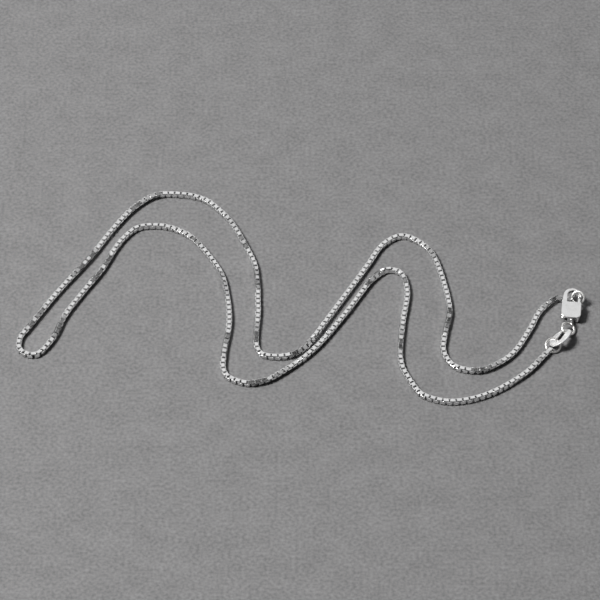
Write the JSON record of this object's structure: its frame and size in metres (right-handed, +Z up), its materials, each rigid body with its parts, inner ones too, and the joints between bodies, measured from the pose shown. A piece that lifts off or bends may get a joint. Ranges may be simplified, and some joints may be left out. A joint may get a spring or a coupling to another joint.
{
  "type": "box chain necklace",
  "caption": "Fine silver necklace of square box links, fastened by a lobster clasp with a sprung lever to a ring and a slotted oval end tag, lying in a doubled wavy loop.",
  "frame": {"origin": "on the surface that the necklace lies on, below the middle of its bounding box", "axes": "+X from the far left turn of the chain to the clasp, +Y away from the viewer, +Z up"},
  "size_m": [0.1132, 0.0586, 0.0031],
  "materials": {
    "chain": "polished sterling silver, bright flat link faces",
    "rings": "polished sterling silver wire",
    "clasp": "tumbled and polished cast sterling silver",
    "tag": "polished silver sheet with a fine grain, left bare"
  },
  "bodies": {
    "body": {"chain_outer": "chain", "chain_inner": "chain", "upper_end_link": "chain", "lower_end_link": "chain", "upper_end_ring": "rings", "hook_ring": "rings", "clasp_body": "clasp", "clasp_rivet": "clasp", "tail_ring": "rings", "oval_tag": "tag", "jump_ring": "rings"},
    "lever": {"clasp_lever": "clasp"}
  },
  "joints": [
    {"name": "lever_hinge", "type": "hinge", "parent": "body", "child": "lever", "pos_m": [0.05448, -0.00514, 0.00139], "axis": [-0.0163, -0.1556, 0.9877], "range_deg": [0, 11], "stiffness_Nm_per_rad": 0.0001, "springref_deg": -17.19}
  ]
}
